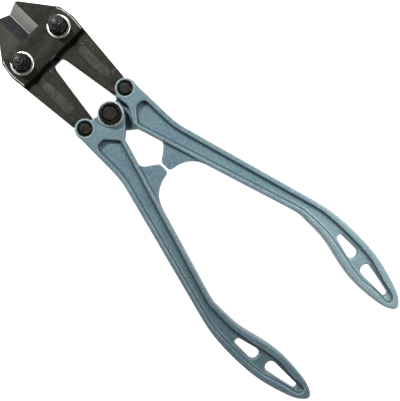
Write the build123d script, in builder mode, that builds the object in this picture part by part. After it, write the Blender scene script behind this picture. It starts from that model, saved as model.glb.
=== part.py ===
from build123d import *
import os
from math import cos, radians, sin, sqrt

os.makedirs("parts", exist_ok=True)

# Bolt cutters, 600 mm class, lying flat and closed.  Millimetres.
# +X runs from the jaws to the grips, +Y to the upper handle, +Z up through the front face.
# Every outline below is drawn from the centre pivot, half way up the blades.

# ---- driving dimensions ------------------------------------------------------
NOSE_X = -185.0            # foremost corner of the jaws
TAIL_X = 422.0             # end of the grips
JAW_BOLT = (-121.4, 32.0)  # pivot of the upper blade in the straps
TOGGLE = (-9.9, 35.3)      # pivot of the upper handle on its blade

BLADE_HALF = 5.5           # half thickness of a blade
STRAP_THICKNESS = 5.2
FACE_GAP = 0.15            # sliding gap between flat faces
FLANGE_HALF = 12.5         # half thickness of a handle at its head
BEAM_HALF = 9.0            # half thickness of its beam and grip
BOSS_HALF = 13.3           # half thickness over the fork's round bosses
LAP_FACE = 11.5            # outside face of a half lap
WEB_HALF = 4.5             # half thickness of the handle's web and stop lug

BLADE_EYE_R = 13.8         # round rear end of a blade
EAR_R = 13.0               # fork ear round the toggle pin
FORK_SLOT_R = 14.2         # slot that the blade eye turns in
LAP_R = 16.9               # half lap round the centre bolt
LAP_ROOM_R = 21.5          # relief that the other handle's lap turns in
SPOT_FACE_R = 19.9         # recess for the head of the centre bolt

RUNNING = 0.05             # radial clearance of a turning pin
SEATED = 0.02              # radial clearance of a pin that stays put
WASHER_PLAY = 0.2          # radial clearance of a washer or ring on its stud
JAW_PIN_R = 6.9
JAW_STUD_R = 6.0
TOGGLE_PIN_R = 6.5
TOGGLE_STUD_R = 5.0
CENTRE_PIN_R = 9.5
PIVOT_PLAY = 2.7           # extra bore radius in the upper handle's lap

PIVOT_X = -(NOSE_X + TAIL_X) / 2
MID_Z = BOSS_HALF
STRAP_INNER = BLADE_HALF + FACE_GAP
STRAP_OUTER = STRAP_INNER + STRAP_THICKNESS
SLOT_HALF = BLADE_HALF + 2 * FACE_GAP
SIDES = {"upper": 1, "lower": -1}


def side_plane(side):
    """Centre pivot plane of one side; the lower one is the upper turned half a turn about X."""
    return Plane(origin=(PIVOT_X, 0, MID_Z), x_dir=(1, 0, 0), z_dir=(0, 0, SIDES[side]))


def axial_plane(side, place):
    """Upright plane through a pin's axis: x is the radius, y the height from mid thickness."""
    x, y = place
    origin = (PIVOT_X + x, SIDES[side] * y, MID_Z)
    return Plane(origin=origin, x_dir=(1, 0, 0), z_dir=(0, -1, 0))


def flat_plane(side, place, height):
    """Level plane at a pin's axis, front face up on both sides."""
    x, y = place
    return Plane(origin=(PIVOT_X + x, SIDES[side] * y, MID_Z + height))


def save(part, name):
    part.label = name
    export_step(part, f"parts/{name}.step")


# ---- jaw blades --------------------------------------------------------------
EDGE_GAP = 0.15            # each cutting edge from the centre line
EDGE_LAND = 0.4            # half width of the cutting edge
NOSE_SLANT = 4.6           # the nose leans back this far towards the cutting edge
BEVEL_WIDTH = 15.2
BEVEL_END_X = -141.3
ARM_HEEL = (-91.9, 8.6)    # inner edge, where the arms part
ARM_ANKLE = (-14.0, 20.4)
BACK_BEND = (-24.0, 44.9)
PANEL_CENTRE = (-61.5, 32.0)
PANEL_LENGTH = 50.0
PANEL_WIDTH = 12.0
PANEL_RISE = 0.6
ARM_CHAMFER = 0.8
LONG_EDGE = 40.0


def make_blade(side):
    plane = side_plane(side)
    with BuildPart() as blade:
        with BuildSketch(plane.offset(-BLADE_HALF)):
            with BuildLine():
                nose = FilletPolyline(
                    (NOSE_X + NOSE_SLANT, EDGE_GAP),
                    (NOSE_X, 17.5),
                    (-141, 50.8),
                    (-127, 53.2),
                    radius=(4, 6),
                )
                crown = ThreePointArc(nose @ 1, (-119.5, 54.0), (-110.0, 53.2))
                Polyline(crown @ 1, BACK_BEND, TOGGLE, ARM_ANKLE, ARM_HEEL)
                Polyline(ARM_HEEL, (-101, 4.0), (-119.4, EDGE_GAP), nose @ 0)
            make_face()
            with Locations(TOGGLE):
                Circle(BLADE_EYE_R)
        extrude(amount=2 * BLADE_HALF)
        rims = blade.faces().filter_by(Axis.Z).edges()
        arms = rims.filter_by_position(Axis.X, PIVOT_X + JAW_BOLT[0], PIVOT_X)
        chamfer([edge for edge in arms if edge.length > LONG_EDGE], ARM_CHAMFER)

        # raised plain panel along the front of the arm
        with BuildSketch(Plane(origin=(PIVOT_X, 0, MID_Z + BLADE_HALF))):
            with Locations((PANEL_CENTRE[0], SIDES[side] * PANEL_CENTRE[1])):
                SlotOverall(PANEL_LENGTH, PANEL_WIDTH)
        extrude(amount=PANEL_RISE)

        # cutting bevels, ground on both faces up to the straps
        section = Plane(
            origin=(PIVOT_X + NOSE_X - 1, 0, MID_Z), x_dir=(0, SIDES[side], 0), z_dir=(1, 0, 0)
        )
        with BuildSketch(section):
            with BuildLine():
                Polyline(
                    (0, EDGE_LAND),
                    (EDGE_GAP, EDGE_LAND),
                    (BEVEL_WIDTH, BLADE_HALF),
                    (BEVEL_WIDTH, BLADE_HALF + 1),
                    (0, BLADE_HALF + 1),
                    close=True,
                )
            make_face()
            mirror(about=Plane.XZ)
        extrude(amount=BEVEL_END_X - NOSE_X + 1, mode=Mode.SUBTRACT)

        # pin bores
        with BuildSketch(plane.offset(-BLADE_HALF)):
            with Locations(JAW_BOLT):
                Circle(JAW_PIN_R + RUNNING)
            with Locations(TOGGLE):
                Circle(TOGGLE_PIN_R + RUNNING)
        extrude(amount=2 * BLADE_HALF + PANEL_RISE, mode=Mode.SUBTRACT)
    return blade.part


for side in SIDES:
    save(make_blade(side), f"blade_{side}")


# ---- strap plates ------------------------------------------------------------
STRAP_REAR_X = {"front": -101.0, "back": -98.0}
STRAP_CHAMFER = 1.4


def make_strap(face, rear_x):
    low = STRAP_INNER if face == "front" else -STRAP_OUTER
    with BuildPart() as strap:
        with BuildSketch(Plane(origin=(PIVOT_X, 0, MID_Z + low))):
            with BuildLine():
                front = FilletPolyline(
                    (BEVEL_END_X, 0), (BEVEL_END_X, 47.0), (-134, 50.2), (-127, 51.3), radius=(2, 10)
                )
                crown = ThreePointArc(front @ 1, (-119.0, 51.9), (-110.0, 51.4))
                Polyline(crown @ 1, (rear_x, 50.5), (rear_x, 0))
                mirror(about=Plane.XZ)
            make_face()
            with Locations([(JAW_BOLT[0], way * JAW_BOLT[1]) for way in SIDES.values()]):
                Circle(JAW_PIN_R + SEATED, mode=Mode.SUBTRACT)
        extrude(amount=STRAP_THICKNESS)
        outside = strap.faces().sort_by(Axis.Z)[-1 if face == "front" else 0]
        chamfer(outside.outer_wire().edges().filter_by(Axis.Y, reverse=True), STRAP_CHAMFER)
    return strap.part


for face, rear_x in STRAP_REAR_X.items():
    save(make_strap(face, rear_x), f"strap_{face}")


# ---- turned and hexagonal hardware ------------------------------------------
def make_turned(side, place, profile, bore_r=0.0):
    """Body of revolution from (radius, height) corners, closed along the bore."""
    plane = axial_plane(side, place)
    low, high = profile[0][1], profile[-1][1]
    with BuildPart() as turned:
        with BuildSketch(plane):
            with BuildLine():
                Polyline((bore_r, low), *profile, (bore_r, high), close=True)
            make_face()
        revolve(axis=Axis(plane.origin, (0, 0, 1)))
    return turned.part


def make_nut(side, place, base, height, across_flats, bore_r, turn, corner_cut):
    """Hexagonal nut with its top corners turned off."""
    corner_r = across_flats / sqrt(3)
    with BuildPart() as nut:
        with BuildSketch(flat_plane(side, place, base)):
            RegularPolygon(across_flats / 2, 6, major_radius=False, rotation=turn)
            Circle(bore_r, mode=Mode.SUBTRACT)
        extrude(amount=height)
        with BuildSketch(axial_plane(side, place)):
            with BuildLine():
                top = base + height
                Polyline(
                    (0, base - 1),
                    (corner_r + 1, base - 1),
                    (corner_r + 1, top - (1 + corner_cut) / sqrt(3)),
                    (corner_r - corner_cut, top),
                    (0, top),
                    close=True,
                )
            make_face()
        revolve(axis=Axis(flat_plane(side, place, base).origin, (0, 0, 1)), mode=Mode.INTERSECT)
    return nut.part


def make_toothed_ring(side, place, base, height, outer_r, inner_r, teeth, notch_r):
    """Flat ring with round notches all round its rim."""
    with BuildPart() as ring:
        with BuildSketch(flat_plane(side, place, base)):
            Circle(outer_r)
            Circle(inner_r, mode=Mode.SUBTRACT)
            with PolarLocations(outer_r + notch_r / 3, teeth):
                Circle(notch_r, mode=Mode.SUBTRACT)
        extrude(amount=height)
    return ring.part


# ---- jaw bolts ---------------------------------------------------------------
JAW_HEAD_R = 12.0
JAW_WASHER_R = 14.7
JAW_WASHER = 2.2
JAW_RING = 2.0
JAW_NUT = 10.5
JAW_NUT_FLATS = 19.0
JAW_NUT_TURN = 45.0
JAW_NUT_CORNER = 1.9       # how far its top corners are turned off
JAW_RING_R = 12.2
JAW_RING_TEETH = 12
JAW_RING_NOTCH_R = 1.1
JAW_DOME = 4.0
WASHER_BASE = STRAP_OUTER
RING_BASE = WASHER_BASE + JAW_WASHER
JAW_NUT_BASE = RING_BASE + JAW_RING
JAW_NUT_TOP = JAW_NUT_BASE + JAW_NUT

JAW_BOLT_PROFILE = [
    (JAW_HEAD_R - 1, -BOSS_HALF),
    (JAW_HEAD_R, 1 - BOSS_HALF),
    (JAW_HEAD_R, -STRAP_OUTER),
    (JAW_PIN_R, -STRAP_OUTER),
    (JAW_PIN_R, STRAP_OUTER),
    (JAW_STUD_R, STRAP_OUTER),
    (JAW_STUD_R, JAW_NUT_TOP + JAW_DOME * 0.35),
    (JAW_STUD_R * 0.86, JAW_NUT_TOP + JAW_DOME * 0.74),
    (JAW_STUD_R * 0.5, JAW_NUT_TOP + JAW_DOME),
]
JAW_WASHER_PROFILE = [
    (JAW_WASHER_R, WASHER_BASE),
    (JAW_WASHER_R, RING_BASE - 0.7),
    (JAW_WASHER_R - 0.7, RING_BASE),
]

for side in SIDES:
    save(make_turned(side, JAW_BOLT, JAW_BOLT_PROFILE), f"jaw_bolt_{side}")
    washer = make_turned(side, JAW_BOLT, JAW_WASHER_PROFILE, bore_r=JAW_STUD_R + WASHER_PLAY)
    save(washer, f"jaw_washer_{side}")
    lock_ring = make_toothed_ring(
        side,
        JAW_BOLT,
        RING_BASE,
        JAW_RING,
        JAW_RING_R,
        JAW_STUD_R + WASHER_PLAY,
        JAW_RING_TEETH,
        JAW_RING_NOTCH_R,
    )
    save(lock_ring, f"jaw_lock_ring_{side}")
    nut = make_nut(
        side,
        JAW_BOLT,
        JAW_NUT_BASE,
        JAW_NUT,
        JAW_NUT_FLATS,
        JAW_STUD_R + SEATED,
        JAW_NUT_TURN,
        JAW_NUT_CORNER,
    )
    save(nut, f"jaw_nut_{side}")


# ---- handles -----------------------------------------------------------------
ELBOW_R = 120.0            # bend of the back edge behind the head
HEAD_END_X = 2.0           # the head starts to thin down here
BEAM_START_X = 42.0        # and has become the beam here
POCKET_CORNER_R = 6.0
POCKET_SLOPE = 2.6         # sloping foot of the pocket's wall
COUNTERBORE_R = 9.8
COUNTERBORE_DEPTH = 4.0
RIM_ROUND = 2.2
EAR_BREAK = 1.2            # broken edge of a fork ear
LONG_RIM = 25.0            # shorter outline edges belong to the head
LAP_SIDE_X = -5.0          # outline edges before this, or nearer the middle than the next,
LAP_SIDE_Y = 4.0           # lie round the lap and stay sharp

HANDLE_BACK = [(-9.9, 48.3), (65.0, 49.7), (258.0, 102.0)]
HANDLE_GRIP = [
    (258.0, 102.0),
    (288.0, 107.6),
    (322.0, 108.9),
    (362.0, 105.5),
    (398.0, 95.6),
    (416.5, 86.0),
    (TAIL_X, 77.6),
    (414.0, 70.0),
    (398.0, 66.0),
    (368.0, 63.8),
    (342.0, 66.0),
    (318.0, 71.4),
    (292.0, 76.4),
    (264.0, 77.0),
    (240.0, 73.2),
]
HANDLE_HEEL = [(240.0, 73.2), (34.0, 10.5), (26.0, 0.5)]
NECK = [(26.0, 0.5), (12.5, -12.5), (-6.0, -8.0), (-11.3, 18.3), (-15.0, 32.0), (-9.9, 48.3)]
POCKET_BACK = [(15.8, 42.2), (66.0, 43.4), (262.0, 96.6)]
POCKET_GRIP = [
    (262.0, 96.6),
    (290.0, 100.2),
    (322.0, 100.6),
    (362.0, 97.2),
    (396.0, 87.6),
    (410.5, 80.0),
    (410.5, 76.6),
    (396.0, 74.0),
    (368.0, 72.2),
    (342.0, 75.0),
    (318.0, 80.0),
    (292.0, 84.0),
    (264.0, 83.6),
    (240.0, 79.3),
]
POCKET_HEAD = [(240.0, 79.3), (31.2, 14.8), (15.4, 28.8), (15.8, 42.2)]
WINDOWS = [  # corners, then the rounds of the front and rear pair
    ([(307.0, 95.4), (341.4, 95.4), (341.4, 78.6), (307.0, 87.6)], 3.4, 7.0),
    ([(355.1, 94.0), (402.3, 84.4), (402.3, 77.4), (355.1, 77.4)], 7.0, 2.9),
]
LUG = [(48, 16), (70.5, 21.6), (85.2, 1.25), (100.3, 1.25), (103.5, 19), (114, 33), (136, 42.5)]
LUG_ROUNDS = (9, 5.2, 4.8, 36, 30)
LUG_ROOT = (120, 50)       # hidden corner inside the beam
FORK_MOUTH = [TOGGLE, (-12, 60), (-60, 60), (-60, 17), (-12, 17)]
LAP_SHOULDER = [(2.0, 22.4), (11.5, 20.8), (19.0, 16.0)]  # curved edge of the lap's relief
LAP_CORNERS = [(27.4, 11.6), (40, 10.4), (40, -30), (-30, -30), (0, 0)]


def loop_outline(back, grip, home):
    """Closed outline: along the back, round the grip by a smooth curve, and home by corners."""
    with BuildLine() as outline:
        spine = FilletPolyline(*back, radius=ELBOW_R)
        belly = Vector(home[0]) - Vector(home[1])
        Spline(*grip, tangents=(spine % 1, belly * -1))
        Polyline(*home)
    return outline.line


def outline_face(plane):
    """The handle's whole outline as a face on a plane."""
    with BuildSketch(plane) as outline:
        with BuildLine():
            add(loop_outline(HANDLE_BACK, HANDLE_GRIP, HANDLE_HEEL + NECK[1:]))
        make_face()
    return outline.sketch


def make_head(side):
    """Thick head of a handle, thinning down to the beam, with rounded rims along its sides."""
    with BuildPart() as head:
        extrude(outline_face(side_plane(side)), amount=FLANGE_HALF, both=True)
        with BuildSketch(axial_plane(side, (0, 0))):
            with BuildLine():
                Polyline(
                    (-3 * EAR_R, 0),
                    (-3 * EAR_R, FLANGE_HALF),
                    (HEAD_END_X, FLANGE_HALF),
                    (BEAM_START_X, BEAM_HALF),
                    (BEAM_START_X, 0),
                    close=True,
                )
            make_face()
            mirror(about=Plane.XZ)
        extrude(amount=TAIL_X, both=True, mode=Mode.INTERSECT)
        rims = []
        for edge in head.edges().filter_by(Axis.Y, reverse=True):
            place = edge.center()
            on_face = abs(place.Z - MID_Z) > BEAM_HALF
            beside_lap = abs(place.Y) < LAP_SIDE_Y or place.X < PIVOT_X + LAP_SIDE_X
            if on_face and not beside_lap:
                rims.append(edge)
        fillet(rims, RIM_ROUND)
    return head.part


def make_pocket(plane, way):
    """Room of the pocket in one face, its walls sloping in at the foot."""
    with BuildPart() as pocket:
        with BuildSketch(plane.offset(way * WEB_HALF)) as outline:
            with BuildLine():
                add(loop_outline(POCKET_BACK, POCKET_GRIP, POCKET_HEAD))
            make_face()
            front = outline.vertices().filter_by_position(Axis.X, 0, BEAM_START_X)
            fillet(front, POCKET_CORNER_R)
        extrude(amount=way * (FLANGE_HALF - WEB_HALF))
        levels = pocket.faces().filter_by(Axis.Z)
        foot = levels.sort_by(lambda face: abs(face.center().Z - MID_Z))[0]
        chamfer(foot.edges(), POCKET_SLOPE)
    return pocket.part


def make_handle(side, lap_bore_r):
    plane = side_plane(side)
    with BuildPart() as handle:
        # I-beam casting with rounded rims
        extrude(outline_face(plane), amount=BEAM_HALF, both=True)
        rims = handle.faces().filter_by(Axis.Z).edges()
        fillet([edge for edge in rims if edge.length > LONG_RIM], RIM_ROUND)
        add(make_head(side))

        # pocket in both faces, down to the web
        for way in (1, -1):
            add(make_pocket(plane, way), mode=Mode.SUBTRACT)

        # two windows through the web of the grip
        for corners, front_round, rear_round in WINDOWS:
            with BuildSketch(plane.offset(-WEB_HALF)) as window:
                with BuildLine():
                    Polyline(*corners, close=True)
                make_face()
                fillet(window.vertices().group_by(Axis.X)[0], front_round)
                fillet(window.vertices().group_by(Axis.X)[-1], rear_round)
            extrude(amount=2 * WEB_HALF, mode=Mode.SUBTRACT)

        # stop lug, as thick as the web
        with BuildSketch(plane.offset(-WEB_HALF)):
            with BuildLine():
                lug = FilletPolyline(*LUG, radius=LUG_ROUNDS)
                Polyline(lug @ 1, LUG_ROOT, lug @ 0)
            make_face()
        extrude(amount=2 * WEB_HALF)

        # fork ears, then the slot between them for the blade
        with BuildSketch(axial_plane(side, TOGGLE)):
            with BuildLine():
                Polyline(
                    (0, 0),
                    (EAR_R, 0),
                    (EAR_R, BOSS_HALF - EAR_BREAK),
                    (EAR_R - EAR_BREAK, BOSS_HALF),
                    (0, BOSS_HALF),
                    close=True,
                )
            make_face()
            mirror(about=Plane.XZ)
        revolve(axis=Axis(axial_plane(side, TOGGLE).origin, (0, 0, 1)))
        with BuildSketch(plane.offset(-SLOT_HALF)):
            with Locations(TOGGLE):
                Circle(FORK_SLOT_R)
            with BuildLine():
                Polyline(*FORK_MOUTH, close=True)
            make_face()
        extrude(amount=2 * SLOT_HALF, mode=Mode.SUBTRACT)

        # room for the other handle's lap, then this handle's own lap at the back
        with BuildSketch(plane.offset(-FACE_GAP)):
            Circle(LAP_ROOM_R)
            with BuildLine():
                shoulder = ThreePointArc(*LAP_SHOULDER)
                Polyline(shoulder @ 1, *LAP_CORNERS, shoulder @ 0)
            make_face()
        extrude(amount=BOSS_HALF + 1, mode=Mode.SUBTRACT)
        with BuildSketch(plane.offset(-FACE_GAP)):
            Circle(LAP_R)
        extrude(amount=-(LAP_FACE - FACE_GAP))
        with BuildSketch(plane.offset(-LAP_FACE)):
            Circle(SPOT_FACE_R)
        extrude(amount=-BOSS_HALF, mode=Mode.SUBTRACT)

        # bores for the centre bolt and the toggle pin, with the pin's counterbores
        with BuildSketch(plane.offset(-BOSS_HALF)):
            Circle(lap_bore_r)
            with Locations(TOGGLE):
                Circle(TOGGLE_PIN_R + SEATED)
        extrude(amount=2 * BOSS_HALF, mode=Mode.SUBTRACT)
        for way in (1, -1):
            with BuildSketch(plane.offset(way * (BOSS_HALF - COUNTERBORE_DEPTH))):
                with Locations(TOGGLE):
                    Circle(COUNTERBORE_R)
            extrude(amount=way * COUNTERBORE_DEPTH, mode=Mode.SUBTRACT)
    return handle.part


LAP_BORE_R = {"upper": CENTRE_PIN_R + PIVOT_PLAY, "lower": CENTRE_PIN_R + SEATED}
for side in SIDES:
    save(make_handle(side, LAP_BORE_R[side]), f"handle_{side}")


# ---- toggle pins -------------------------------------------------------------
TOGGLE_HEAD_R = 9.4
TOGGLE_HEAD = 2.9
TOGGLE_HEAD_EDGE = 1.0     # height of the head's rim, below its sloping crown
TOGGLE_CROWN_R = 6.1       # flat middle of the head
TOGGLE_WASHER = 1.2
TOGGLE_NUT_FLATS = 15.0
SEAT = BOSS_HALF - COUNTERBORE_DEPTH

TOGGLE_PIN_PROFILE = [
    (TOGGLE_STUD_R - 0.5, -BOSS_HALF),
    (TOGGLE_STUD_R, 0.5 - BOSS_HALF),
    (TOGGLE_STUD_R, -SEAT),
    (TOGGLE_PIN_R, -SEAT),
    (TOGGLE_PIN_R, SEAT),
    (TOGGLE_HEAD_R, SEAT),
    (TOGGLE_HEAD_R, SEAT + TOGGLE_HEAD_EDGE),
    (TOGGLE_CROWN_R, SEAT + TOGGLE_HEAD),
]
TOGGLE_WASHER_PROFILE = [(TOGGLE_HEAD_R, -SEAT - TOGGLE_WASHER), (TOGGLE_HEAD_R, -SEAT)]

for side in SIDES:
    save(make_turned(side, TOGGLE, TOGGLE_PIN_PROFILE), f"toggle_pin_{side}")
    washer = make_turned(side, TOGGLE, TOGGLE_WASHER_PROFILE, bore_r=TOGGLE_STUD_R + WASHER_PLAY)
    save(washer, f"toggle_washer_{side}")
    with BuildPart() as toggle_nut:
        with BuildSketch(flat_plane(side, TOGGLE, -BOSS_HALF)):
            RegularPolygon(TOGGLE_NUT_FLATS / 2, 6, major_radius=False)
            Circle(TOGGLE_STUD_R + SEATED, mode=Mode.SUBTRACT)
        extrude(amount=COUNTERBORE_DEPTH - TOGGLE_WASHER)
    save(toggle_nut.part, f"toggle_nut_{side}")


# ---- centre bolt -------------------------------------------------------------
CENTRE_HEAD_R = 16.0
CENTRE_WASHER = 1.2
CENTRE_NUT = 6.2
CENTRE_RING = 2.8
STAR_R = 13.7              # tips of the 12-point nut
STAR_ROOT_R = 12.7
SOCKET_R = 14.4            # tips of the 12-point socket in the lock ring
SOCKET_ROOT_R = 13.9
RING_R = 16.2
LAP_WASHER_TOP = LAP_FACE + CENTRE_WASHER
CENTRE_NUT_TOP = LAP_WASHER_TOP + CENTRE_NUT

CENTRE_BOLT_PROFILE = [
    (CENTRE_HEAD_R - 0.6, -BOSS_HALF),
    (CENTRE_HEAD_R, 0.6 - BOSS_HALF),
    (CENTRE_HEAD_R, -LAP_FACE - 0.1),
    (CENTRE_PIN_R, -LAP_FACE - 0.1),
    (CENTRE_PIN_R, CENTRE_NUT_TOP - 2.3),
    (CENTRE_PIN_R - 1.2, CENTRE_NUT_TOP - 1.1),
]


def star_outline(tip_r, root_r):
    """Twelve-point star as a closed line."""
    radii = [tip_r, root_r] * 12
    turns = [radians(15 * step) for step in range(24)]
    with BuildLine() as star:
        Polyline(*[(r * cos(a), r * sin(a)) for r, a in zip(radii, turns)], close=True)
    return star.line


CENTRE = (0, 0)
save(make_turned("upper", CENTRE, CENTRE_BOLT_PROFILE), "centre_bolt")
CENTRE_WASHER_PROFILE = [(STAR_ROOT_R, LAP_FACE), (STAR_ROOT_R, LAP_WASHER_TOP)]
centre_washer = make_turned(
    "upper", CENTRE, CENTRE_WASHER_PROFILE, bore_r=CENTRE_PIN_R + WASHER_PLAY
)
save(centre_washer, "centre_washer")

with BuildPart() as centre_nut:
    with BuildSketch(flat_plane("upper", CENTRE, LAP_WASHER_TOP)):
        with BuildLine():
            add(star_outline(STAR_R, STAR_ROOT_R))
        make_face()
        Circle(CENTRE_PIN_R + SEATED, mode=Mode.SUBTRACT)
    extrude(amount=CENTRE_NUT)
    chamfer(centre_nut.faces().sort_by(Axis.Z)[-1].inner_wires().edges(), 0.8)
save(centre_nut.part, "centre_nut")

with BuildPart() as centre_lock_ring:
    with BuildSketch(flat_plane("upper", CENTRE, LAP_FACE)):
        Circle(RING_R)
        with BuildLine():
            add(star_outline(SOCKET_R, SOCKET_ROOT_R))
        make_face(mode=Mode.SUBTRACT)
    extrude(amount=CENTRE_RING)
    chamfer(centre_lock_ring.faces().sort_by(Axis.Z)[-1].outer_wire().edges(), 0.6)
save(centre_lock_ring.part, "centre_lock_ring")
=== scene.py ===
import math

import bmesh
import bpy
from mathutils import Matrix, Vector


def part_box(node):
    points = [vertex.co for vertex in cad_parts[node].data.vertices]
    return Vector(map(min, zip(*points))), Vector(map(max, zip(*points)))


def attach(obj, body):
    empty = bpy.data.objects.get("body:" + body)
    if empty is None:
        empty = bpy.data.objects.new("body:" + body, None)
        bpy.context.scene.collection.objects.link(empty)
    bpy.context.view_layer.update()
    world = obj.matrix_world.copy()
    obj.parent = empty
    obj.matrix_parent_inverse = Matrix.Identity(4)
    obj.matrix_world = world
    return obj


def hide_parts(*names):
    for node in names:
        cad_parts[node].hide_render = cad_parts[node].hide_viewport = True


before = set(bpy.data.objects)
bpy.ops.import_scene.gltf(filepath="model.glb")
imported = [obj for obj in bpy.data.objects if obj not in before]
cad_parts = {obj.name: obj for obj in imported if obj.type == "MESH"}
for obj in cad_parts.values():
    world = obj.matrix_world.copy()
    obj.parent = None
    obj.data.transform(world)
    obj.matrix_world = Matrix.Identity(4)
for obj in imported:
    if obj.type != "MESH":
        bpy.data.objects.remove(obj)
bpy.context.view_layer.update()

# Bolt cutters lying flat, with the jaws towards -X and the grips towards +X.
# All lengths are in metres; MM turns millimetres into them.
MM = 0.001

# ---- places read from the frame ----------------------------------------------
bolt_low, bolt_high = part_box("centre_bolt")
handle_low, handle_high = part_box("handle_upper")
PIVOT_X = (bolt_low.x + bolt_high.x) / 2
MID_Z = (handle_low.z + handle_high.z) / 2
PANEL_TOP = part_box("blade_upper")[1].z
STRAP_FRONT, STRAP_REAR = (corner.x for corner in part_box("strap_front"))

# ---- zones of colour ---------------------------------------------------------
# Each pair says where a tone starts to show, and where it shows fully.
# RIM_TO_BOSS bounds a painted highlight on the raised rims and bosses.
RIM_TO_BOSS = (7.8 * MM, 13.0 * MM)      # heights over the castings' middle plane
# WALL_FOOT and WALL_TOP bound painted shade on the pocket walls.
WALL_FOOT = (4.6 * MM, 5.4 * MM)
WALL_TOP = (8.6 * MM, 7.0 * MM)
# The grip zones hold a painted sheen on the upper grip and painted shade on the lower one.
UPPER_GRIP_SHEEN = {"X": (80 * MM, 200 * MM), "Y": (0.0, 30 * MM)}
LOWER_GRIP_SHADE = {"X": (-40 * MM, 110 * MM), "Y": (0.0, -30 * MM)}
# NOSE bounds the blades' painted tone ahead of the strap.
NOSE = (STRAP_FRONT + 3 * MM, STRAP_FRONT - 3 * MM)
# These bound the band of painted shadow behind the strap.
STRAP_SHADOW_FRONT = (-1.5 * MM, 0.0)             # distances behind the strap's rear edge
STRAP_SHADOW_REAR = (7.6 * MM, 6.4 * MM)

STRAP_SHADOW_WANDER = 0.4 * MM                    # how far the painted shadow band strays to either side
NOISE_LOW, NOISE_HIGH = 0.3, 0.7         # nearly all values of a noise lie between these


# ---- node helpers ------------------------------------------------------------
def map_range(tree, value, source, target, interpolation="LINEAR"):
    """Carries a value over from one range to another, and holds it there beyond the ends."""
    node = tree.nodes.new("ShaderNodeMapRange")
    node.interpolation_type = interpolation
    for socket, number in zip(("From Min", "From Max", "To Min", "To Max"), (*source, *target)):
        node.inputs[socket].default_value = number
    tree.links.new(value, node.inputs["Value"])
    return node.outputs["Result"]


class Nodes:
    """Short way to build one material's node tree around its Principled shader."""

    def __init__(self, name):
        self.material = bpy.data.materials.new(name)
        self.material.use_nodes = True
        self.tree = self.material.node_tree
        self.shader = self.tree.nodes["Principled BSDF"]
        self.coordinates = self.add("ShaderNodeTexCoord").outputs["Object"]

    def add(self, kind, **values):
        node = self.tree.nodes.new(kind)
        for key, value in values.items():
            setattr(node, key, value)
        return node

    def link(self, source, target):
        self.tree.links.new(source, target)

    def set(self, **values):
        """Sets the shader's own sockets, each named with _ for a space."""
        for key, value in values.items():
            self.shader.inputs[key.replace("_", " ")].default_value = value

    def stretched(self, scale):
        """Object coordinates scaled per axis, for grain that runs one way."""
        mapping = self.add("ShaderNodeMapping")
        mapping.inputs["Scale"].default_value = scale
        self.link(self.coordinates, mapping.inputs["Vector"])
        return mapping.outputs["Vector"]

    def noise(self, scale, detail=4, rough=0.5, where=None):
        node = self.add("ShaderNodeTexNoise")
        node.inputs["Scale"].default_value = scale
        node.inputs["Detail"].default_value = detail
        node.inputs["Roughness"].default_value = rough
        self.link(where or self.coordinates, node.inputs["Vector"])
        return node.outputs["Fac"]

    def cells(self, scale):
        node = self.add("ShaderNodeTexVoronoi", feature="SMOOTH_F1")
        node.inputs["Scale"].default_value = scale
        self.link(self.coordinates, node.inputs["Vector"])
        return node.outputs["Distance"]

    def spread(self, value, low, high):
        """0 up to the low value and 1 from the high one, or the other way if low is above."""
        return map_range(self.tree, value, (low, high), (0.0, 1.0))

    def between(self, noise, low, high):
        """A noise stretched to wander between two values."""
        return map_range(self.tree, noise, (NOISE_LOW, NOISE_HIGH), (low, high))

    def calculate(self, operation, first, second=0.0):
        node = self.add("ShaderNodeMath", operation=operation)
        for socket, value in zip(node.inputs, (first, second)):
            if isinstance(value, (int, float)):
                socket.default_value = value
            else:
                self.link(value, socket)
        return node.outputs["Value"]

    def times(self, first, second):
        return self.calculate("MULTIPLY", first, second)

    def mix(self, share, first, second):
        node = self.add("ShaderNodeMix", data_type="RGBA")
        first_socket, second_socket, mixed = node.inputs[6], node.inputs[7], node.outputs[2]
        self.link(share, node.inputs["Factor"])
        for socket, colour in ((first_socket, first), (second_socket, second)):
            if isinstance(colour, tuple):
                socket.default_value = (*colour, 1)
            else:
                self.link(colour, socket)
        return mixed

    def layered(self, base, *layers):
        """Lays colours over a base: where each one shows, how strongly, and the colour."""
        for where, strength, colour in layers:
            base = self.mix(self.times(where, strength), base, colour)
        return base

    def edges(self, low, high):
        """1 on convex edges, where finishes wear; with low above high, in hollow corners."""
        return self.spread(self.add("ShaderNodeNewGeometry").outputs["Pointiness"], low, high)

    def part(self, vector, axis):
        split = self.add("ShaderNodeSeparateXYZ")
        self.link(vector, split.inputs["Vector"])
        return split.outputs[axis]

    def along(self, axis):
        """One of the three object coordinates."""
        return self.part(self.coordinates, axis)

    def zone(self, limits):
        """1 inside a zone that is given by its limits along X and Y."""
        along_x = self.spread(self.along("X"), *limits["X"])
        along_y = self.spread(self.along("Y"), *limits["Y"])
        return self.times(along_x, along_y)

    def from_mid_height(self):
        """Distance up or down from the tool's middle plane."""
        return self.calculate("ABSOLUTE", self.calculate("SUBTRACT", self.along("Z"), MID_Z))

    def levelness(self):
        """1 where the surface faces straight up or down, 0 where it stands upright."""
        normal = self.add("ShaderNodeTexCoord").outputs["Normal"]
        return self.calculate("ABSOLUTE", self.part(normal, "Z"))

    def bump(self, height, depth, strength, before=None):
        node = self.add("ShaderNodeBump")
        node.inputs["Distance"].default_value = depth
        node.inputs["Strength"].default_value = strength
        self.link(height, node.inputs["Height"])
        if before:
            self.link(before, node.inputs["Normal"])
        return node.outputs["Normal"]

    def finish(self, colour, roughness, normal=None, metal=None):
        self.link(colour, self.shader.inputs["Base Color"])
        self.link(roughness, self.shader.inputs["Roughness"])
        if normal:
            self.link(normal, self.shader.inputs["Normal"])
        if metal:
            self.link(metal, self.shader.inputs["Metallic"])
        return self.material


def brighter(colour, times):
    return tuple(times * channel for channel in colour)


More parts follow.
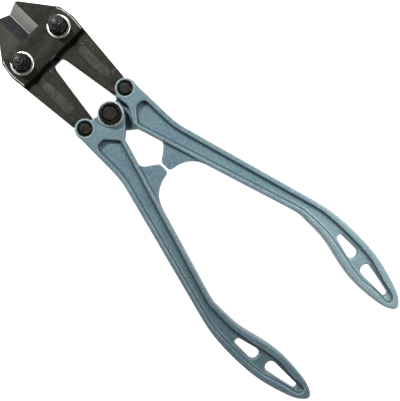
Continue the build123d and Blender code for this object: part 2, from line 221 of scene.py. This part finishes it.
# ---- materials ---------------------------------------------------------------
def hammer_paint():
    """Blue-grey hammer finish over a cast surface, rubbed thin along the rims.

    The upper grip is painted lighter, a painted sheen, and the lower one darker, painted shade.
    """
    m = Nodes("hammer_paint")
    m.set(IOR=1.5, Specular_IOR_Level=0.4, Coat_Weight=0.12, Coat_Roughness=0.3)
    clouds = m.spread(m.noise(22), 0.36, 0.64)
    tint = m.spread(m.noise(75, 4, 0.6), 0.36, 0.64)
    flecks = m.spread(m.noise(280, 4, 0.65), 0.38, 0.66)
    pits = m.spread(m.noise(420, 3, 0.6), 0.56, 0.70)
    height = m.from_mid_height()
    # Painted highlight: the raised rims and bosses are painted lighter.
    top = m.spread(height, *RIM_TO_BOSS)
    # Painted shade on the pocket walls.
    wall_shade = m.times(m.spread(height, *WALL_FOOT), m.spread(height, *WALL_TOP))
    rubbed = m.times(m.edges(0.506, 0.525), m.spread(m.noise(240, 5, 0.7), 0.34, 0.60))
    # Painted shade on the upright faces.
    side_shade = m.spread(m.levelness(), 0.96, 0.60)
    # Painted shade in the hollow corners.
    hollow_shade = m.edges(0.492, 0.472)
    paint = m.layered(
        m.mix(clouds, (0.078, 0.148, 0.196), (0.122, 0.224, 0.240)),
        (tint, 0.55, (0.130, 0.196, 0.256)),
        (flecks, 0.8, (0.206, 0.314, 0.350)),
        (pits, 0.6, (0.052, 0.092, 0.118)),
        (top, 0.36, (0.262, 0.382, 0.408)),
        (wall_shade, 0.5, (0.036, 0.076, 0.098)),
        # Painted sheen on the upper grip, painted shade on the lower grip.
        (m.zone(UPPER_GRIP_SHEEN), 0.31, (0.30, 0.40, 0.41)),
        (m.zone(LOWER_GRIP_SHADE), 0.43, (0.030, 0.050, 0.062)),
        (rubbed, 0.7, (0.46, 0.53, 0.54)),
        (side_shade, 0.7, (0.044, 0.078, 0.098)),
        (hollow_shade, 0.7, (0.026, 0.050, 0.064)),
    )
    rough = m.between(m.noise(180), 0.34, 0.50)
    dimples = m.bump(m.cells(430), 0.25 * MM, 0.7)
    skin = m.bump(m.noise(900, 3), 0.05 * MM, 0.5, dimples)
    return m.finish(paint, rough, skin)


def rubbed_paint():
    """The same paint on the lock ring, rubbed pale all round by handling."""
    m = Nodes("rubbed_paint")
    m.set(IOR=1.5, Specular_IOR_Level=0.5, Coat_Weight=0.2, Coat_Roughness=0.3)
    patches = m.spread(m.noise(160, 5, 0.65), 0.34, 0.64)
    chips = m.spread(m.noise(620, 3, 0.6), 0.58, 0.70)
    paint = m.layered(
        m.mix(patches, (0.34, 0.43, 0.45), (0.62, 0.67, 0.67)),
        (chips, 0.6, (0.12, 0.18, 0.21)),
    )
    rough = m.between(m.noise(300), 0.32, 0.46)
    return m.finish(paint, rough, m.bump(m.noise(700, 3), 0.06 * MM, 0.5))


def forged_black(name, dark, light, cloud_scale, nose_light=None):
    """Oil-blackened forged steel with mottled scale, bright nicks and rubbed edges.

    A blade also gets a painted tone ahead of the strap, painted shade on the upper blade and a
    painted sheen on the lower one, and a band of painted shadow behind the strap.
    """
    m = Nodes(name)
    m.set(IOR=1.5, Specular_IOR_Level=0.06)
    clouds = m.spread(m.noise(cloud_scale, 5, 0.6), 0.34, 0.68)
    rust = m.spread(m.noise(95, 4, 0.6), 0.52, 0.74)
    specks = m.spread(m.noise(1100, 2, 0.6), 0.54, 0.72)
    nicks = m.spread(m.noise(190, 3), 0.64, 0.72)
    worn = m.times(m.edges(0.55, 0.68), m.spread(m.noise(300, 4, 0.7), 0.42, 0.60))
    steel = m.layered(
        m.mix(clouds, dark, light),
        (rust, 0.5, (0.050, 0.043, 0.032)),
        (specks, 0.5, brighter(light, 2.6)),
        (nicks, 0.5, brighter(light, 3.4)),
        (worn, 0.7, (0.26, 0.26, 0.245)),
    )
    if nose_light:
        # Painted light ahead of the strap: shade on the upper blade, sheen on the lower.
        ahead = m.spread(m.along("X"), *NOSE)
        # Painted shadow in a band behind the strap's rear edge, its edge wandering a little.
        behind = m.calculate("SUBTRACT", m.along("X"), STRAP_REAR)
        behind = m.calculate("ADD", behind, m.between(m.noise(120, 3), -STRAP_SHADOW_WANDER, STRAP_SHADOW_WANDER))
        strap_shadow = m.times(m.spread(behind, *STRAP_SHADOW_FRONT), m.spread(behind, *STRAP_SHADOW_REAR))
        steel = m.layered(steel, (ahead, 0.4, nose_light), (strap_shadow, 0.85, (0.006, 0.006, 0.004)))
    rough = m.between(m.noise(220), 0.50, 0.68)
    grain = m.bump(m.noise(700, 6, 0.65), 0.14 * MM, 0.7)
    return m.finish(steel, rough, grain, m.times(worn, 0.8))


def ground_steel():
    """Bevel ground across the edge: fine straight marks and a satin grey."""
    m = Nodes("ground_steel")
    m.set(Metallic=0.7)
    marks = m.noise(1.0, 4, 0.6, m.stretched((2600, 60, 60)))
    streaks = m.between(m.noise(1.0, 3, 0.5, m.stretched((500, 30, 30))), 0.0, 1.0)
    steel = m.mix(streaks, (0.25, 0.253, 0.235), (0.34, 0.34, 0.315))
    return m.finish(steel, m.between(marks, 0.42, 0.56), m.bump(marks, 0.03 * MM, 0.5))


def blued_steel():
    """Bevel that kept its dark oil blueing, with faint marks across the edge."""
    m = Nodes("blued_steel")
    m.set(IOR=1.5, Specular_IOR_Level=0.12)
    marks = m.noise(1.0, 4, 0.6, m.stretched((2200, 60, 60)))
    streaks = m.between(m.noise(1.0, 3, 0.5, m.stretched((400, 40, 40))), 0.0, 1.0)
    steel = m.mix(streaks, (0.020, 0.022, 0.024), (0.040, 0.041, 0.042))
    return m.finish(steel, m.between(marks, 0.34, 0.48), m.bump(marks, 0.03 * MM, 0.5))


def worn_steel():
    """Edge of a black plate rubbed down to satin steel."""
    m = Nodes("worn_steel")
    m.set(Metallic=0.9)
    patches = m.spread(m.noise(240, 5, 0.7), 0.36, 0.62)
    steel = m.mix(patches, (0.30, 0.30, 0.28), (0.86, 0.86, 0.83))
    rough = m.between(m.noise(500), 0.30, 0.46)
    return m.finish(steel, rough, m.bump(m.noise(900), 0.03 * MM, 0.4))


def panel_steel():
    """Face of the raised panel, its blackening rubbed off in a fine grain."""
    m = Nodes("panel_steel")
    m.set(IOR=1.5, Specular_IOR_Level=0.08)
    grain = m.spread(m.noise(620, 5, 0.7), 0.40, 0.60)
    patches = m.spread(m.noise(110, 3, 0.6), 0.30, 0.65)
    steel = m.mix(m.times(grain, patches), (0.046, 0.045, 0.040), (0.130, 0.128, 0.115))
    rough = m.between(m.noise(380), 0.50, 0.64)
    return m.finish(steel, rough, m.bump(m.noise(620, 5, 0.6), 0.14 * MM, 0.7))


def bright_zinc():
    """Bright plated washer, faintly uneven, with a few dull spots."""
    m = Nodes("bright_zinc")
    m.set(Metallic=0.75, IOR=1.6)
    spots = m.spread(m.noise(300, 3), 0.50, 0.72)
    zinc = m.mix(spots, (0.93, 0.93, 0.92), (0.66, 0.66, 0.65))
    rough = m.between(m.noise(400, 3), 0.32, 0.44)
    return m.finish(zinc, rough, m.bump(m.noise(700, 2), 0.01 * MM, 0.3))


def oiled_steel(name, dark, light, shine):
    """Dark bolt steel, clouded by old oil and brighter on its corners."""
    m = Nodes(name)
    m.set(IOR=1.5, Specular_IOR_Level=shine)
    clouds = m.spread(m.noise(190, 5, 0.65), 0.35, 0.66)
    worn = m.times(m.edges(0.53, 0.66), m.spread(m.noise(500, 4, 0.7), 0.38, 0.60))
    steel = m.layered(m.mix(clouds, dark, light), (worn, 0.8, (0.34, 0.34, 0.32)))
    rough = m.between(m.noise(400), 0.24, 0.40)
    return m.finish(steel, rough, m.bump(m.noise(900), 0.05 * MM, 0.5), m.times(worn, 0.6))


def pale_floor():
    """White table that glows enough for shadows on it to vanish."""
    m = Nodes("pale_floor")
    m.set(Specular_IOR_Level=0.1, Emission_Color=(1, 1, 1, 1), Emission_Strength=1.0)
    white = m.mix(m.noise(6, 3), (0.56, 0.56, 0.56), (0.58, 0.58, 0.58))
    return m.finish(white, m.between(m.noise(40, 2), 0.85, 0.95))


PAINT = hammer_paint()
RUBBED = rubbed_paint()
# Painted light ahead of each strap: painted shade on the upper blade, a painted sheen on the lower.
JAW_NOSE_LIGHT = {"upper": (0.010, 0.010, 0.007), "lower": (0.105, 0.105, 0.088)}
JAW = {
    side: forged_black(f"{side}_jaw_black", (0.018, 0.018, 0.013), (0.048, 0.047, 0.038), 26, nose_light)
    for side, nose_light in JAW_NOSE_LIGHT.items()
}
STRAP = forged_black("strap_black", (0.020, 0.020, 0.015), (0.040, 0.039, 0.032), 60)
BEVEL = {"upper": ground_steel(), "lower": blued_steel()}
WORN = worn_steel()
PANEL = panel_steel()
ZINC = bright_zinc()
OILED = oiled_steel("oiled_steel", (0.009, 0.010, 0.008), (0.024, 0.025, 0.021), 0.25)
BLACK = oiled_steel("black_steel", (0.003, 0.004, 0.003), (0.010, 0.012, 0.009), 0.12)
DOME = oiled_steel("dome_steel", (0.014, 0.016, 0.013), (0.036, 0.039, 0.033), 0.6)
BROWNED = oiled_steel("browned_steel", (0.016, 0.014, 0.012), (0.046, 0.042, 0.038), 0.10)


# ---- pieces ------------------------------------------------------------------
WELD_DISTANCE = 0.002 * MM
FLAT_WITHIN = math.radians(0.4)          # faces that turn less than this are one flat face
SMOOTH_UP_TO = math.radians(32)          # edges that turn less than this are shaded smooth
SHARP_FROM = math.radians(24)            # edges that turn more than this are rounded
JAW_SHARP_FROM = math.radians(15)
ROUNDING_STEPS = 2

# Faces are told apart by the sizes of their normals' parts: 1 along an axis, 0 across it.
LEVEL = 0.99
UPRIGHT = 0.1
BEVEL_NORMAL = {"z": (0.90, 0.97), "y": (0.2, 1.0)}
CHAMFER_NORMAL = {"z": (0.4, 0.95), "y": (0.4, 1.0)}
PANEL_DEPTH = 0.1 * MM                   # faces this near to the panel's top belong to it

CASTING_VOXEL = 0.65 * MM
CASTING_RELAX_STEPS = 30
CASTING_KEPT_FACES = 0.35


def clean_copy(node):
    """The CAD node's surface as a welded mesh with its flat faces made whole again."""
    mesh = bmesh.new()
    mesh.from_mesh(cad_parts[node].data)
    bmesh.ops.remove_doubles(mesh, verts=mesh.verts, dist=WELD_DISTANCE)
    bmesh.ops.dissolve_limit(mesh, angle_limit=FLAT_WITHIN, verts=mesh.verts, edges=mesh.edges)
    return mesh


def leans(face, limits):
    """Whether the parts of the face's normal lie within limits, whichever way it points."""
    return all(low < abs(getattr(face.normal, axis)) < high for axis, (low, high) in limits.items())


def break_edges(mesh, width, sharp_from=SHARP_FROM):
    """Rounds every sharp edge by a small width."""
    sharp = [
        edge
        for edge in mesh.edges
        if len(edge.link_faces) == 2 and edge.calc_face_angle() > sharp_from
    ]
    bmesh.ops.bevel(
        mesh,
        geom=sharp,
        offset=width,
        segments=ROUNDING_STEPS,
        profile=0.5,
        affect="EDGES",
        clamp_overlap=True,
    )


def add_object(name, data):
    thing = bpy.data.objects.new(name, data)
    bpy.context.scene.collection.objects.link(thing)
    return thing


def shade_smooth(data):
    data.polygons.foreach_set("use_smooth", [True] * len(data.polygons))


def place(name, mesh, body, node, materials):
    """Makes the piece, puts it on its body and lets it stand for its CAD node."""
    data = bpy.data.meshes.new(name)
    mesh.to_mesh(data)
    mesh.free()
    for material in materials:
        data.materials.append(material)
    shade_smooth(data)
    data.set_sharp_from_angle(angle=SMOOTH_UP_TO)
    piece = add_object(name, data)
    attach(piece, body)
    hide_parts(node)
    return piece


def make_small_part(node, body, material, width, flank_shade=None):
    """Turned or cut part; a second material goes on every face that is not level, as painted shade.
    """
    mesh = clean_copy(node)
    if flank_shade:
        # Faces that are not level get the second material: painted shade.
        for face in mesh.faces:
            face.material_index = 1 if abs(face.normal.z) < LEVEL else 0
    break_edges(mesh, width)
    finishes = [material, flank_shade] if flank_shade else [material]
    place(f"{node}_finish", mesh, body, node, finishes)


def make_jaw(side):
    """Blade with its ground bevels and its rubbed panel."""
    node = f"blade_{side}"
    mesh = clean_copy(node)
    for face in mesh.faces:
        middle = face.calc_center_median()
        on_bevel = leans(face, BEVEL_NORMAL) and middle.x < STRAP_FRONT
        on_panel = middle.z > PANEL_TOP - PANEL_DEPTH
        face.material_index = 2 if on_panel else 1 if on_bevel else 0
    break_edges(mesh, 0.3 * MM, JAW_SHARP_FROM)
    finishes = [JAW[side], BEVEL[side], PANEL]
    place(f"{node}_finish", mesh, f"{side}_jaw", node, finishes)


def make_strap(face_name):
    """Strap plate: black steel on its upright cut faces as painted shade, and an outer chamfer
    rubbed bright.
    """
    node = f"strap_{face_name}"
    mesh = clean_copy(node)
    for face in mesh.faces:
        chamfered = leans(face, CHAMFER_NORMAL)
        # Upright cut faces get black steel: painted shade.
        upright = abs(face.normal.z) < UPRIGHT
        face.material_index = 1 if chamfered else 2 if upright else 0
    break_edges(mesh, 0.25 * MM)
    place(f"{node}_finish", mesh, "strap_set", node, [STRAP, WORN, BLACK])


def make_handle(side):
    """Casting: the CAD surface remeshed finely and relaxed, so every corner is softly rounded."""
    node = f"handle_{side}"
    piece = place(
        f"{node}_finish", clean_copy(node), f"{side}_handle", node, [PAINT]
    )
    remesh = piece.modifiers.new("remesh", "REMESH")
    remesh.mode = "VOXEL"
    remesh.voxel_size = CASTING_VOXEL
    remesh.use_smooth_shade = True
    relax = piece.modifiers.new("relax", "SMOOTH")
    relax.factor = 0.5
    relax.iterations = CASTING_RELAX_STEPS
    thin = piece.modifiers.new("thin", "DECIMATE")
    thin.ratio = CASTING_KEPT_FACES
    shown = piece.evaluated_get(bpy.context.evaluated_depsgraph_get())
    data = bpy.data.meshes.new_from_object(shown)
    piece.modifiers.clear()
    piece.data = data
    shade_smooth(data)


for side in ("upper", "lower"):
    handle = f"{side}_handle"
    make_jaw(side)
    make_handle(side)
    make_small_part(f"jaw_bolt_{side}", "strap_set", DOME, 0.25 * MM)
    make_small_part(f"jaw_washer_{side}", "strap_set", ZINC, 0.2 * MM)
    make_small_part(f"jaw_lock_ring_{side}", "strap_set", BLACK, 0.2 * MM)
    # In this line and the next, the last BLACK is painted shade on faces that are not level.
    make_small_part(f"jaw_nut_{side}", "strap_set", OILED, 0.3 * MM, BLACK)
    make_small_part(f"toggle_pin_{side}", handle, BROWNED, 0.3 * MM, BLACK)
    make_small_part(f"toggle_washer_{side}", handle, ZINC, 0.15 * MM)
    make_small_part(f"toggle_nut_{side}", handle, OILED, 0.25 * MM)
for face_name in ("front", "back"):
    make_strap(face_name)
# The last BLACK is painted shade on faces that are not level.
make_small_part("centre_bolt", "lower_handle", BROWNED, 0.3 * MM, BLACK)
make_small_part("centre_washer", "lower_handle", BLACK, 0.15 * MM)
make_small_part("centre_nut", "lower_handle", BLACK, 0.25 * MM)
make_small_part("centre_lock_ring", "lower_handle", RUBBED, 0.4 * MM)


# ---- stage -------------------------------------------------------------------
# The camera looks straight down, and its right is the tool's +X turned by VIEW_TURN.
VIEW_TURN = math.radians(44.54)
VIEW_FORWARD = 153.4 * MM                # from the centre bolt to the picture's middle
VIEW_SIDE = 1.3 * MM
VIEW_HEIGHT = 650 * MM                   # over the tool's middle plane
VIEW_PLANE = 13 * MM                     # height over it at which VIEW_WIDTH fills the picture
VIEW_WIDTH = 493.6 * MM
SENSOR = 36.0

IMAGE_RIGHT = Vector((math.cos(VIEW_TURN), math.sin(VIEW_TURN), 0))
IMAGE_UP = Vector((-math.sin(VIEW_TURN), math.cos(VIEW_TURN), 0))
LOOK_AT = Vector((PIVOT_X + VIEW_FORWARD, VIEW_SIDE, MID_Z))

FLOOR_REACH = 6.0
STUDIO_WHITE = (0.97, 0.985, 1.0, 1)
WALL_FADE = (0.15, 0.60)                 # heights in the sky: 0 at the horizon, 1 overhead
SIDE_FADE = (-0.35, 0.55)                # from -1, straight towards -X, to 1, towards +X


def make_camera():
    data = bpy.data.cameras.new("camera")
    data.sensor_width = SENSOR
    data.lens = SENSOR * (VIEW_HEIGHT - VIEW_PLANE) / VIEW_WIDTH
    camera = add_object("camera", data)
    camera.location = LOOK_AT + Vector((0, 0, VIEW_HEIGHT))
    camera.rotation_euler = (0, 0, VIEW_TURN)
    bpy.context.scene.camera = camera


def make_floor():
    """White table, level with the tool's lowest faces."""
    signs = ((-1, -1), (1, -1), (1, 1), (-1, 1))
    corners = [(FLOOR_REACH * x, FLOOR_REACH * y, 0) for x, y in signs]
    mesh = bpy.data.meshes.new("floor")
    mesh.from_pydata(corners, [], [(0, 1, 2, 3)])
    mesh.materials.append(pale_floor())
    floor = add_object("floor", mesh)


def make_light(name, bearing, elevation, distance, size, power):
    """Round soft light aimed at the middle of the picture.

    The bearing is counted in degrees from the picture's right, towards its top.
    """
    data = bpy.data.lights.new(name, "AREA")
    data.shape = "DISK"
    data.size = size
    data.energy = power
    lamp = add_object(name, data)
    turn, climb = math.radians(bearing), math.radians(elevation)
    side = math.cos(turn) * IMAGE_RIGHT + math.sin(turn) * IMAGE_UP
    away = distance * (math.cos(climb) * side + Vector((0, 0, math.sin(climb))))
    lamp.location = LOOK_AT + away
    lamp.rotation_euler = away.to_track_quat("Z", "Y").to_euler()


def make_world(overhead, horizon, far_side):
    """Studio that is dark overhead, bright around its walls, and dimmer on the side of +X."""
    world = bpy.data.worlds.new("studio")
    world.use_nodes = True
    tree = world.node_tree
    background = tree.nodes["Background"]
    background.inputs["Color"].default_value = STUDIO_WHITE
    direction = tree.nodes.new("ShaderNodeTexCoord").outputs["Generated"]
    split = tree.nodes.new("ShaderNodeSeparateXYZ")
    tree.links.new(direction, split.inputs["Vector"])
    by_height = map_range(
        tree, split.outputs["Z"], WALL_FADE, (horizon, overhead), "SMOOTHSTEP"
    )
    by_side = map_range(tree, split.outputs["X"], SIDE_FADE, (1.0, far_side), "SMOOTHSTEP")
    product = tree.nodes.new("ShaderNodeMath")
    product.operation = "MULTIPLY"
    tree.links.new(by_height, product.inputs[0])
    tree.links.new(by_side, product.inputs[1])
    tree.links.new(product.outputs["Value"], background.inputs["Strength"])
    bpy.context.scene.world = world


make_camera()
make_floor()
make_light("key", bearing=130, elevation=42, distance=3.0, size=0.30, power=78)
make_light("right_softbox", bearing=20, elevation=40, distance=0.60, size=0.25, power=2.6)
make_world(overhead=0.06, horizon=0.80, far_side=0.30)
bpy.context.scene.view_settings.view_transform = "Standard"
